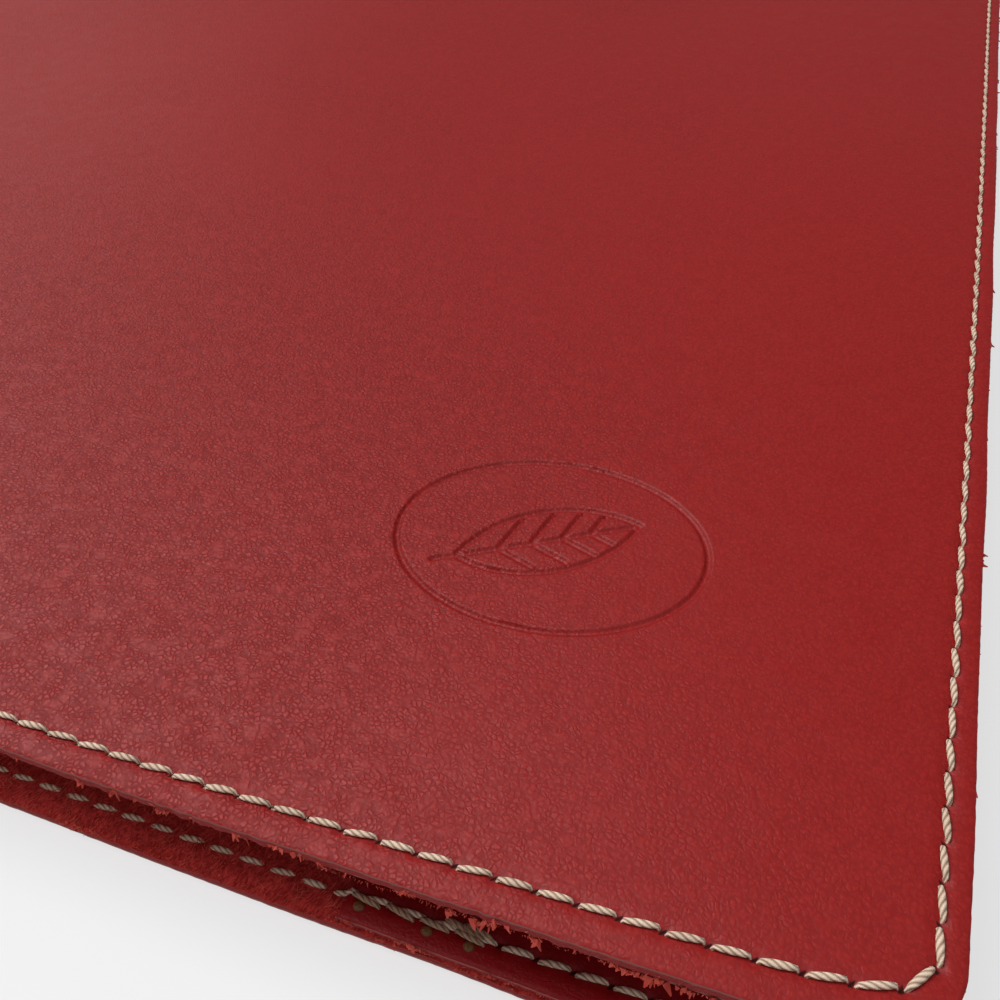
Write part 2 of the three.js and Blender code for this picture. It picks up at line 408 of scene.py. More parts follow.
def seam_holes():
    """Needle holes from the middle of the spine along the tail, up the fore-edge and back along the head, as
    places on the flat pattern. At a corner the last holes drift inwards, where the sewer turned the work."""
    sizes = bpy.context.scene.cover_sizes
    pitch = sizes.pitch
    seam_q = HALF_HEIGHT - sizes.end_margin
    first = sizes.side_margin + 0.68 * pitch  # last hole of the tail leg before the corner
    count = round((GIRTH - first) / pitch)
    tail_pitch = (GIRTH - first) / count
    steps = np.arange(count + 1)
    leg_p = first + tail_pitch * steps
    drift = 0.45 * pitch * 0.5**steps
    turn_in = 1.13 * pitch
    side_count = round(2 * (seam_q - turn_in) / pitch)
    side_q = np.linspace(-(seam_q - turn_in), seam_q - turn_in, side_count + 1)
    tail = np.stack([leg_p, -(seam_q - drift)], axis=1)[::-1]
    side = np.stack([np.full(side_count + 1, sizes.side_margin), side_q], axis=1)
    head = np.stack([leg_p, seam_q - drift], axis=1)
    return np.concatenate([tail, side, head])


def seam_place(p, q, holes):
    """For each place of the pattern, its place along the seam in stitches and across it in pitches, and its
    distance from the nearest hole."""
    pitch = bpy.context.scene.cover_sizes.pitch
    points = np.stack([p, q], axis=1)
    start, step = holes[:-1], np.diff(holes, axis=0)
    size = np.hypot(step[:, 0], step[:, 1])
    along = np.zeros(len(points))
    across = np.full(len(points), 9.0)
    nearest = np.full(len(points), 1.0)
    for first in range(0, len(points), 20000):
        some = slice(first, first + 20000)
        offset = points[some, None, :] - start[None]
        share = np.clip((offset * step).sum(2) / size**2, 0, 1)
        gap = offset - share[..., None] * step
        far = np.hypot(gap[..., 0], gap[..., 1])
        best = far.argmin(1)
        rows = np.arange(len(best))
        side = np.sign(step[best, 0] * gap[rows, best, 1] - step[best, 1] * gap[rows, best, 0])
        along[some] = best + share[rows, best]
        across[some] = -side * far[rows, best] / pitch
        nearest[some] = np.hypot(*(points[some, None, :] - holes[None]).transpose(2, 0, 1)).min(1)
    return along, across, nearest


def smooth_noise(x, y, size, seed):
    """Cheap repeatable noise from -1 to 1, about size across, for hand-cut edges."""
    total = np.zeros(np.broadcast(x, y).shape)
    draw = np.random.default_rng(seed)
    for octave in range(5):
        angle, phase = draw.uniform(0, math.tau, 2)
        scale = math.tau / size * (0.7 + 0.55 * octave)
        total = total + np.sin((x * math.cos(angle) + y * math.sin(angle)) * scale + phase)
    return total / 5


# ---- The emblem ----


def emblem_depth(p, q):
    """A plain leaf in an oval ring, pressed blind into the front. 1 at the bottom of a line, 0 outside it."""
    centre_p, centre_q = EMBLEM_PLACE
    x, y = (centre_p - p) / MM, (q - centre_q) / MM
    half_line = 0.2

    def ring(wide, high):
        radius = np.hypot(x / wide, y / high)
        slope = np.hypot(x / wide**2, y / high**2) / np.maximum(radius, 1e-6)
        return np.abs(radius - 1) / np.maximum(slope, 1e-6)

    tilt = math.radians(28)
    along = x * math.cos(tilt) + y * math.sin(tilt)
    across = -x * math.sin(tilt) + y * math.cos(tilt)
    leaf_long, leaf_wide = 7.4, 3.3
    arc = (leaf_long**2 + leaf_wide**2) / (2 * leaf_wide)
    lobe = np.hypot(along, np.abs(across) + arc - leaf_wide) - arc
    lines = [ring(12.5, 9.0), np.abs(lobe)]
    stalk = np.hypot(across, np.maximum(np.abs(along + 1.2) - 8.0, 0))
    lines.append(stalk)
    lean = math.radians(48)
    for place in (-4.0, -1.4, 1.1, 3.4):
        run = along - place
        vein = np.abs(np.abs(across) - run * math.tan(lean)) * math.cos(lean)
        lines.append(np.where((lobe < -0.3) & (run > 0) & (run < 2.5), vein, 9.0))
    distance = np.minimum.reduce(lines)
    return np.clip((half_line + 0.1 - distance) / 0.16, 0, 1)


# ---- Modelling helpers ----


def deselect():
    if bpy.context.object and bpy.context.object.mode != "OBJECT":
        bpy.ops.object.mode_set(mode="OBJECT")
    bpy.ops.object.select_all(action="DESELECT")


def activate(piece):
    deselect()
    piece.select_set(True)
    bpy.context.view_layer.objects.active = piece


def places_of(piece):
    co = np.empty(len(piece.data.vertices) * 3, np.float32)
    piece.data.vertices.foreach_get("co", co)
    return co.reshape(-1, 3).astype(float)


def set_places(piece, places):
    piece.data.vertices.foreach_set("co", np.ascontiguousarray(places, np.float32).ravel())
    piece.data.update()


def face_centres(piece):
    centres = np.empty(len(piece.data.polygons) * 3, np.float32)
    piece.data.polygons.foreach_get("center", centres)
    return centres.reshape(-1, 3)


def face_normals(piece):
    normals = np.empty(len(piece.data.polygons) * 3, np.float32)
    piece.data.polygons.foreach_get("normal", normals)
    return normals.reshape(-1, 3)


def select_faces(piece, chosen):
    """Selects exactly these faces, in object mode, and opens edit mode on them."""
    activate(piece)
    mesh = piece.data
    mesh.vertices.foreach_set("select", np.zeros(len(mesh.vertices), bool))
    mesh.edges.foreach_set("select", np.zeros(len(mesh.edges), bool))
    mesh.polygons.foreach_set("select", np.asarray(chosen, bool))
    bpy.ops.object.mode_set(mode="EDIT")
    bpy.ops.mesh.select_mode(type="FACE")


def put_attribute(piece, name, kind, values):
    attribute = piece.data.attributes.new(name, kind, "POINT")
    key = "vector" if kind == "FLOAT_VECTOR" else "value"
    attribute.data.foreach_set(key, np.ascontiguousarray(values, np.float32).ravel())


def flat_slab(name, columns, rows, depth):
    """A sheet cut flat: a grid on the given lines, given its thickness. It lies grain side down at n = 0."""
    deselect()
    across, up = len(columns) - 1, len(rows) - 1
    bpy.ops.mesh.primitive_grid_add(x_subdivisions=across, y_subdivisions=up, size=1)
    piece = bpy.context.object
    piece.name = piece.data.name = name
    places = places_of(piece)
    i = np.rint((places[:, 0] + 0.5) * across).astype(int)
    j = np.rint((places[:, 1] + 0.5) * up).astype(int)
    set_places(piece, np.stack([np.asarray(columns)[i], np.asarray(rows)[j], np.zeros(len(i))], axis=1))
    solidify = piece.modifiers.new("Thickness", "SOLIDIFY")
    solidify.thickness = depth
    solidify.offset = 1.0
    bpy.ops.object.modifier_apply(modifier=solidify.name)
    return piece


def subdivide_faces(piece, chosen, cuts):
    select_faces(piece, chosen)
    bpy.ops.mesh.subdivide(number_cuts=cuts)
    bpy.ops.object.mode_set(mode="OBJECT")


def grid_lines(edge_lines, last, step):
    """Lines close together near an edge, then evenly out to last."""
    count = max(1, round((last - edge_lines[-1]) / step))
    return list(edge_lines) + list(np.linspace(edge_lines[-1], last, count + 1)[1:])


def round_corners(p, q):
    """Pulls the square fore-edge corners in to arcs."""
    u = np.clip(CORNER_RADIUS - p, 0, None)
    v = np.clip(np.abs(q) - (HALF_HEIGHT - CORNER_RADIUS), 0, None)
    share = np.maximum(u, v) / np.maximum(np.hypot(u, v), 1e-9)
    inside = (u > 0) & (v > 0)
    new_p = np.where(inside, CORNER_RADIUS - u * share, p)
    new_q = np.where(inside, np.sign(q) * (HALF_HEIGHT - CORNER_RADIUS + v * share), q)
    return new_p, new_q


def edge_distance(p, q, free_edge=None):
    """Distance from the cut outline, inside positive, with the corners rounded."""
    down = HALF_HEIGHT - np.abs(q)
    corner = (p < CORNER_RADIUS) & (down < CORNER_RADIUS)
    arc = CORNER_RADIUS - np.hypot(CORNER_RADIUS - p, CORNER_RADIUS - down)
    distance = np.where(corner, arc, np.minimum(p, down))
    if free_edge is not None:
        distance = np.minimum(distance, free_edge - p)
    return distance


def smooth_by_angle(piece, degrees):
    activate(piece)
    bpy.ops.object.shade_smooth_by_angle(angle=math.radians(degrees))


def leather_sheet(name, half, width, depth, bottom, holes, emblem=False, free_edge=False, seed=0):
    """One sheet of leather: cut flat, its seam and edges worked finer, pressed by the thread, and laid on the
    closed cover. bottom is how far it lies from the outer grain; a flap's grain side faces inwards."""
    sizes = bpy.context.scene.cover_sizes
    half_band = 0.94 * MM
    cell = sizes.pitch
    side_lines = [0, sizes.side_margin - half_band, sizes.side_margin + half_band]
    end_lines = np.array([0, sizes.end_margin - half_band, sizes.end_margin + half_band])
    if free_edge:
        columns = grid_lines(side_lines, width - 0.8 * MM, cell) + [width]
    else:
        fold_from, fold_to = STRAIGHT - 1.6 * MM, STRAIGHT + FOLD_LENGTH + 1.6 * MM
        columns = grid_lines(side_lines, fold_from, cell)
        columns = grid_lines(columns, fold_to, 0.4 * MM)
        columns = grid_lines(columns, width, cell)
    middle = np.linspace(-HALF_HEIGHT + end_lines[-1], HALF_HEIGHT - end_lines[-1], 90)
    rows = np.concatenate([-HALF_HEIGHT + end_lines[:-1], middle, HALF_HEIGHT - end_lines[:-1][::-1]])
    piece = flat_slab(name, columns, rows, depth)

    # Work the seam band, the margin outside it and the cut edge finer, on the side that shows.
    centre, normal = face_centres(piece), face_normals(piece)
    shown = np.abs(centre[:, 2]) < 1e-6 if not free_edge else np.abs(centre[:, 2] - depth) < 1e-6
    if half == "back" and not free_edge:
        shown |= centre[:, 2] > depth - 1e-6
    end_band = HALF_HEIGHT - np.abs(centre[:, 1]) < end_lines[-1]
    side_band = centre[:, 0] < side_lines[-1]
    corner = (centre[:, 0] < 6.6 * MM) & (HALF_HEIGHT - np.abs(centre[:, 1]) < 7 * MM)
    rim = (np.abs(normal[:, 2]) < 0.5) & ((centre[:, 0] < width - 1e-6) | free_edge)
    chosen = (shown & (end_band | side_band | corner)) | rim
    if free_edge:
        chosen |= shown & (centre[:, 0] > width - 0.9 * MM)
    subdivide_faces(piece, chosen, 6)
    if emblem:
        centre = face_centres(piece)
        area = np.abs(centre[:, :2] - EMBLEM_PLACE) < (14 * MM, 10.5 * MM)
        subdivide_faces(piece, area.all(1) & (np.abs(centre[:, 2]) < 1e-6), 19)

    places = places_of(piece)
    p, q, n = places.T
    # n = 0 is the grain side of the outer leather; a flap is turned so that its grain side is at n = depth.
    n = np.clip(n, 0, depth)
    grain_depth = depth - n if free_edge else n
    p, q = round_corners(p, q)
    flat = np.stack([p, q, grain_depth], axis=1)
    along, across, nearest = seam_place(p, q, holes)
    on_grain = np.clip(1 - grain_depth / (0.3 * depth), 0, 1)
    on_flesh = np.clip(1 - (depth - grain_depth) / (0.3 * depth), 0, 1)
    across_m = across * sizes.pitch
    groove, pit = 0.43 * MM, 0.3 * MM  # half the width of the seam's groove and of a needle hole's pit
    puff_height, puff_place, puff_width = 0.016 * MM, 0.8 * MM, 0.4 * MM  # the leather swells beside it
    press = sizes.seam_press * np.exp(-((across_m / groove) ** 2))
    press = press + sizes.hole_press * np.exp(-((nearest / pit) ** 2))
    puff = puff_height * np.exp(-(((np.abs(across_m) - puff_place) / puff_width) ** 2))
    press = np.where(np.abs(across_m) < 3 * MM, press - puff, 0)
    if emblem:
        press = press + sizes.deboss * emblem_depth(p, q)
    # The knife drags the cut edge down a little, and the flesh side frays.
    inside = edge_distance(p, q, width if free_edge else None)
    drag_depth, drag_reach = 0.11 * MM, 0.13 * MM
    roll = drag_depth * np.exp(-np.clip(inside, 0, None) / drag_reach)
    lift = on_grain * (press + roll) - on_flesh * 0.5 * press
    n_shift = lift if not free_edge else -lift
    ragged = smooth_noise(p, q, 1.0 * MM, seed + 1) * smooth_noise(p, q, 5.5 * MM, seed + 2)
    ragged = ragged + 0.5 * smooth_noise(p, q, 0.7 * MM, seed + 3)
    fray = np.clip(1 - inside / (0.1 * MM), 0, 1) * (0.04 + 0.16 * np.clip(grain_depth / depth, 0, 1)) * MM
    wavy = 0.11 * MM * smooth_noise(p, q, 36 * MM, seed + 4) * np.clip(1 - inside / (3 * MM), 0, 1)
    push = fray * ragged + wavy - (0.25 * MM * np.clip(1 - inside / (1.2 * MM), 0, 1) if free_edge else 0)
    near_side = p < np.minimum(HALF_HEIGHT - np.abs(q), (width - p) if free_edge else 1)
    near_free = (width - p < HALF_HEIGHT - np.abs(q)) & free_edge
    p = p - np.where(near_side, push, 0) + np.where(near_free, push, 0)
    q = q + np.where(near_side | near_free, 0, push) * np.sign(q)
    set_places(piece, lie(half, p, q, n + bottom + n_shift))
    put_attribute(piece, "flat_place", "FLOAT_VECTOR", flat)
    put_attribute(piece, "seam_place", "FLOAT_VECTOR", np.stack([along, across, nearest], axis=1))

    # Grain, flesh and cut edge each have their own finish.
    flat_depth = flat[:, 2]
    faces = len(piece.data.polygons)
    slots = np.zeros(faces, np.int32)
    loops = np.empty(len(piece.data.loops), np.int32)
    piece.data.loops.foreach_get("vertex_index", loops)
    starts = np.empty(faces, np.int32)
    piece.data.polygons.foreach_get("loop_start", starts)
    low = np.minimum.reduceat(flat_depth[loops], starts)
    high = np.maximum.reduceat(flat_depth[loops], starts)
    slots[(high - low > 1e-6) | ((low > 1e-6) & (high < depth - 1e-6))] = 2
    slots[(low > depth - 1e-6)] = 1
    piece.data.polygons.foreach_set("material_index", slots)
    recalculate(piece)
    smooth_by_angle(piece, 50)
    return piece


def dress_leather(piece, grain, suede, edge):
    for material in (grain, suede, edge):
        piece.data.materials.append(material)


# ---- Thread and fibres ----

STITCH_SIDES = 8
STITCH_STEPS = 8
TWISTS = 1.4  # turns of the three plies in one stitch


def many(master, count):
    """Copies of the master in one mesh. Returns each copy's places, all as if it were the first."""
    activate(master)
    copies = master.modifiers.new("Copies", "ARRAY")
    copies.count = count
    copies.use_relative_offset = False
    bpy.ops.object.modifier_apply(modifier=copies.name)
    return places_of(master).reshape(count, -1, 3)


def stitch_master(name):
    """One stitch, 1 long and 1 in radius, standing on its end."""
    deselect()
    bpy.ops.mesh.primitive_circle_add(vertices=STITCH_SIDES, radius=1, fill_type="NGON")
    stitch = bpy.context.object
    stitch.name = stitch.data.name = name
    select_faces(stitch, [True])
    for _ in range(STITCH_STEPS):
        bpy.ops.mesh.extrude_region_move(TRANSFORM_OT_translate={"value": (0, 0, 1 / STITCH_STEPS)})
    bpy.ops.object.mode_set(mode="OBJECT")
    return stitch


def climb(share, steep):
    """How far a stitch has come out of its hole, from 0 to 1 and back."""
    out = np.clip(np.sin(math.pi * np.clip(share, 0, 1)) * steep, 0, 1)
    return out * out * (3 - 2 * out)


def sew(name, half, holes, surface, material, seed, *, outward, slant, sink, steep):
    """Sews one stitch between each two holes of the flat pattern, as one piece. surface gives the depth of
    the leather under the thread, and outward is -1 outside the cover and 1 inside."""
    radius = bpy.context.scene.cover_sizes.thread / 2
    piece = stitch_master(name)
    local = many(piece, len(holes))
    draw = np.random.default_rng(seed)
    spin, plump, fat = draw.uniform((0, 0.6, 0.94), (math.tau, 1.4, 1.06), (len(holes), 3)).T[..., None]
    lean = slant * draw.uniform(0.5, 1.5, (len(holes), 1))
    # The ends come up beside the middle of each hole. Rings stand closer together where the thread turns.
    share = local[..., 2] - 0.75 * np.sin(math.tau * local[..., 2]) / math.tau
    start, run = holes[:, 0], holes[:, 1] - holes[:, 0]
    size = np.hypot(*run.T)[:, None]
    inset = 0.02 * MM / size
    proud, swell = 0.3 * radius, 0.05 * MM  # how far the thread stands off the leather, and bulges midway
    rise = sink + proud
    height = rise * climb(share, steep) - sink + swell * plump * np.sin(math.pi * share)
    slope = np.arctan(rise * (climb(share + 1e-3, steep) - climb(share - 1e-3, steep)) / (2e-3 * size))
    fat = fat * np.sin(math.pi * np.clip(share, 0.04, 0.96)) ** 0.42
    across = radius * fat * local[..., 0]
    up = 0.86 * radius * fat * local[..., 1]
    direction = run / size
    sideways = np.stack([-direction[:, 1], direction[:, 0]], axis=1)
    drift = across + lean * (share - 0.5) * 2
    forward = (inset + share * (1 - 2 * inset)) * size - up * np.sin(slope)
    flat = start[:, None] + forward[..., None] * direction[:, None] + drift[..., None] * sideways[:, None]
    depth = surface(flat[..., 0]) + outward * (height + up * np.cos(slope))
    set_places(piece, lie(half, flat[..., 0], flat[..., 1], depth).reshape(-1, 3))
    angle = np.arctan2(local[..., 1], local[..., 0])
    twist = 3 * math.tau * TWISTS * share + 3 * spin
    turn = np.stack([np.cos(angle), np.sin(angle), twist], axis=-1)
    put_attribute(piece, "ply_turn", "FLOAT_VECTOR", turn.reshape(-1, 3))
    piece.data.materials.append(material)
    recalculate(piece)
    smooth_by_angle(piece, 80)
    return piece


def strands(name, half, roots, ways, curls, lengths, thick, material, seed):
    """Loose fibres as one piece. Each stands at its root on the flat pattern and bends from its way by its
    curl."""
    deselect()
    bpy.ops.mesh.primitive_circle_add(vertices=3, radius=1, fill_type="NGON")
    piece = bpy.context.object
    piece.name = piece.data.name = name
    select_faces(piece, [True])
    for step, taper in enumerate((0.75, 0.3)):
        bpy.ops.mesh.extrude_region_move(TRANSFORM_OT_translate={"value": (0, 0, 0.5)})
        bpy.ops.transform.resize(value=(taper, taper, 1), center_override=(0, 0, 0.5 * (step + 1)))
    bpy.ops.object.mode_set(mode="OBJECT")
    local = many(piece, len(roots))
    draw = np.random.default_rng(seed)
    other = draw.normal(size=ways.shape)
    side = np.cross(ways, other)
    side /= np.linalg.norm(side, axis=1, keepdims=True)
    third = np.cross(ways, side)
    rise = local[..., 2, None]
    thick = thick[:, None, None]
    spine = roots[:, None] + lengths[:, None, None] * (rise * ways[:, None] + rise**2 * curls[:, None])
    flat = spine + thick * (local[..., 0, None] * side[:, None] + local[..., 1, None] * third[:, None])
    set_places(piece, lie(half, *flat.reshape(-1, 3).T))
    piece.data.materials.append(material)
    recalculate(piece)
    smooth_by_angle(piece, 80)
    return piece


def recalculate(piece):
    activate(piece)
    bpy.ops.object.mode_set(mode="EDIT")
    bpy.ops.mesh.select_all(action="SELECT")
    bpy.ops.mesh.normals_make_consistent(inside=False)
    bpy.ops.object.mode_set(mode="OBJECT")


def outside_surface(p):
    return np.zeros_like(p)


def inside_surface(p):
    """Depth of the innermost leather: the flap's grain side, or the flesh side beyond the flap's edge."""
    share = np.clip((FLAP_WIDTH - p) / (0.5 * MM) + 0.5, 0, 1)
    return LEATHER - 0.14 * MM * (1 - share) + share * (FLAP_GAP + FLAP_LEATHER)


# ---- Operators ----


class COVER_OT_stage(bpy.types.Operator):
    """Camera, pale floor and soft window light"""

    bl_idname = "cover.stage"
    bl_label = "Stage"

    def execute(self, context):
        sizes, colours = context.scene.cover_sizes, context.scene.cover_colours
        context.scene.view_settings.view_transform = "Standard"
        # The eye is close above the tail corner of the fore-edge.
        corner = Vector((FORE_EDGE - sizes.side_margin, -HALF_HEIGHT + sizes.end_margin, CLOSED))
        from_corner = Vector((-12.95, -24.40, 55.45)) * MM
        eye = corner + from_corner
        heading, drop, roll = math.radians(-22.11), math.radians(43.67), math.radians(2.6)
        ahead = Vector(
            (math.sin(heading) * math.cos(drop), math.cos(heading) * math.cos(drop), -math.sin(drop))
        )
        level = ahead.cross(Vector((0, 0, 1))).normalized()
        down = ahead.cross(level)
        right = level * math.cos(roll) + down * math.sin(roll)
        up = level * math.sin(roll) - down * math.cos(roll)
        lens = bpy.data.cameras.new("eye")
        lens.sensor_width = 36
        lens.lens = 35.75
        lens.clip_start = 0.005
        lens.clip_end = 10
        camera = bpy.data.objects.new("eye", lens)
        axes = Matrix((right, up, -ahead)).transposed()
        camera.matrix_world = Matrix.Translation(eye) @ axes.to_4x4()
        context.scene.collection.objects.link(camera)
        context.scene.camera = camera

        deselect()
        bpy.ops.mesh.primitive_plane_add(size=12, location=(0, 0, -FLOOR_DROP))
        floor = context.object
        floor.name = "floor"
        # Matt card lit from below: no gloss, a faint tooth, and hardly a shadow.
        material, add = new_material("Pale studio card")
        tooth = add("TexNoise", {"Vector": object_mm(add), "Scale": 1 / 0.8, "Detail": 3.0})
        relief = add("Bump", {"Height": tooth, "Distance": 0.02 * MM, "Strength": 0.3})
        card = {"Base Color": linear("#808080"), "Roughness": 0.9, "Normal": relief}
        card |= {"Emission Color": tuple(colours.floor), "Emission Strength": 0.73}
        add("OutputMaterial", (add("BsdfPrincipled", card),))
        floor.data.materials.append(material)

        world = bpy.data.worlds.new("Soft room")
        world.use_nodes = True
        world.node_tree.nodes["Background"].inputs["Color"].default_value = linear("#F4F6FA")
        world.node_tree.nodes["Background"].inputs["Strength"].default_value = 0.2
        context.scene.world = world
        # A softbox at the spine side, a weak one at the fore-edge, and a faint window beyond for the sheen.
        self.light("key", (-0.42, -0.02, 0.76), (-0.02, 0.0, 0.01), (0.6, 0.6), 7.2)
        self.light("fill", (0.50, -0.30, 0.70), (0.0, -0.05, 0.01), (0.9, 0.9), 1.4)
        self.light("window", (-0.62, 0.30, 0.55), (-0.02, -0.05, 0.01), (0.7, 0.7), 0.9)
        return {"FINISHED"}

    def light(self, name, place, target, size, power):
        lamp = bpy.data.lights.new(name, "AREA")
        lamp.shape = "RECTANGLE"
        lamp.size, lamp.size_y = size
        lamp.energy = power
        holder = bpy.data.objects.new(name, lamp)
        holder.location = place
        holder.rotation_euler = (Vector(target) - Vector(place)).to_track_quat("-Z", "Y").to_euler()
        bpy.context.scene.collection.objects.link(holder)


class COVER_OT_outer_leather(bpy.types.Operator):
    """The one outer sheet, as a back half and a front half that meet along the middle of the spine"""

    bl_idname = "cover.outer_leather"
    bl_label = "Outer leather"

    def execute(self, context):
        colours = context.scene.cover_colours
        grain = grain_leather_material(
            "Pull-up leather, grain side",
            tuple(colours.grain),
            tuple(colours.grain_deep),
            tuple(colours.crease),
            slackness=1.0,
            wax=0.25,
        )
        suede = suede_material("Leather, flesh side", tuple(colours.flesh), tuple(colours.flesh_deep))
        edge = cut_edge_material(
            "Leather, raw cut edge", tuple(colours.cut), tuple(colours.grain), tuple(colours.crease)
        )
        holes = seam_holes()
        for seed, half in enumerate(("back", "front")):
            pressed = half == "front"
            name = f"outer_leather_{half}"
            piece = leather_sheet(name, half, GIRTH, LEATHER, 0, holes, emblem=pressed, seed=10 * seed)
            dress_leather(piece, grain, suede, edge)
            bend_with_fold(piece, half)
            nodes = [f"{half}_panel"] + (["spine_panel"] if half == "back" else [])
            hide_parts(*nodes)
        return {"FINISHED"}


class COVER_OT_pocket_flaps(bpy.types.Operator):
    """The two pocket flaps sewn inside the fore-edges, grain side to the notebook"""

    bl_idname = "cover.pocket_flaps"
    bl_label = "Pocket flaps"

    def execute(self, context):
        colours = context.scene.cover_colours
        # The flap colour holds painted shade as well as the leather's own darker tone.
        grain = grain_leather_material(
            "Smooth leather, flap grain side",
            tuple(colours.flap),
            tuple(colours.flap),
            tuple(colours.crease),
            slackness=0.3,
            wax=0.22,
        )
        suede = bpy.data.materials["Leather, flesh side"]
        edge = bpy.data.materials["Leather, raw cut edge"]
        holes = seam_holes()
        for seed, half in enumerate(("back", "front")):
            piece = leather_sheet(
                f"pocket_flap_{half}",
                half,
                FLAP_WIDTH,
                FLAP_LEATHER,
                LEATHER + FLAP_GAP,
                holes,
                free_edge=True,
                seed=50 + 10 * seed,
            )
            dress_leather(piece, grain, suede, edge)
            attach(piece, half)
            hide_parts(f"{half}_pocket_flap")
        return {"FINISHED"}


class COVER_OT_needle_threads(bpy.types.Operator):
    """The stitches that show outside, all round"""

    bl_idname = "cover.needle_threads"
    bl_label = "Needle threads"

    def execute(self, context):
        colours = context.scene.cover_colours
        thread = thread_material("Waxed three-ply thread", tuple(colours.thread), tuple(colours.thread_ply_shade))
        holes = seam_holes()
        pairs = np.stack([holes[:-1], holes[1:]], axis=1)
        for seed, half in enumerate(("back", "front")):
            way = {"outward": -1, "slant": -0.12 * MM, "sink": 0.7 * MM, "steep": 2.3}
            piece = sew(f"needle_thread_{half}", half, pairs, outside_surface, thread, 100 + seed, **way)
            bend_with_fold(piece, half)
            nodes = [f"{half}_needle_thread"]
            if half == "back":
                nodes += ["spine_needle_thread_tail", "spine_needle_thread_head"]
            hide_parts(*nodes)
        return {"FINISHED"}


class COVER_OT_bobbin_threads(bpy.types.Operator):
    """The stitches that show inside, sunk in the suede and flat on the flaps, with the backtack"""

    bl_idname = "cover.bobbin_threads"
    bl_label = "Bobbin threads"

    def execute(self, context):
        sizes, colours = context.scene.cover_sizes, context.scene.cover_colours
        thread = bpy.data.materials["Waxed three-ply thread"]
        holes = seam_holes()
        pairs = np.stack([holes[:-1], holes[1:]], axis=1)
        for seed, half in enumerate(("back", "front")):
            way = {"outward": 1, "slant": -0.1 * MM, "sink": 0.62 * MM, "steep": 1.8}
            piece = sew(f"bobbin_thread_{half}", half, pairs, inside_surface, thread, 200 + seed, **way)
            bend_with_fold(piece, half)
            nodes = [f"{half}_bobbin_thread"]
            if half == "back":
                nodes += ["spine_bobbin_thread_tail", "spine_bobbin_thread_head"]
            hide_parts(*nodes)

        # The backtack thread is darker: partly soil, partly painted shade.
        soiled = thread_material("Waxed thread, soiled", tuple(colours.tack), tuple(colours.thread_ply_shade))
        # The first stitches are sewn over again beside the seam, and the last of them twice more.
        tack = pairs[pairs[..., 0].max(1) < FORE_EDGE - TACK_LOW.x + 0.8 * MM]
        tack = tack[(tack[..., 0].min(1) > FORE_EDGE - TACK_HIGH.x - 0.8 * MM) & (tack[:, 0, 1] < 0)]
        along, inward = 0.3 * sizes.pitch, 0.24 * MM
        knot = tack[-1:]
        passes = [tack + (along, -inward), knot + (along / 2, 1.3 * inward), knot + (along, 0.3 * inward)]
        passes = np.concatenate([*passes, knot + (2.2 * along, 0.9 * inward)])
        way = {"outward": 1, "slant": 0.15 * MM, "sink": 0.55 * MM, "steep": 2.3}
        piece = sew("backtack", "back", passes, lambda p: inside_surface(p) + 0.12 * MM, soiled, 300, **way)
        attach(piece, "back")
        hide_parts("back_tail_backtack")
        return {"FINISHED"}


class COVER_OT_wax_spots(bpy.types.Operator):
    """Beads of brown edge wax that dripped on the back flap beside the backtack"""

    bl_idname = "cover.wax_spots"
    bl_label = "Wax spots"

    def execute(self, context):
        sizes, colours = context.scene.cover_sizes, context.scene.cover_colours
        deselect()
        bpy.ops.mesh.primitive_uv_sphere_add(segments=14, ring_count=8, radius=1)
        piece = context.object
        piece.name = piece.data.name = "wax_spots"
        from_flap_edge = np.array([1.3, 6.3, 9.3]) * MM
        local = many(piece, len(from_flap_edge)) * np.array([0.42, 0.36, 0.2]) * MM
        p = FLAP_WIDTH - from_flap_edge[:, None] + local[..., 0]
        q = sizes.end_margin - HALF_HEIGHT - 0.75 * MM + local[..., 1]
        set_places(piece, lie("back", p, q, inside_surface(p) + local[..., 2]).reshape(-1, 3))
        piece.data.materials.append(wax_material("Brown edge wax", tuple(colours.wax)))
        recalculate(piece)
        smooth_by_angle(piece, 80)
        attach(piece, "back")
        return {"FINISHED"}


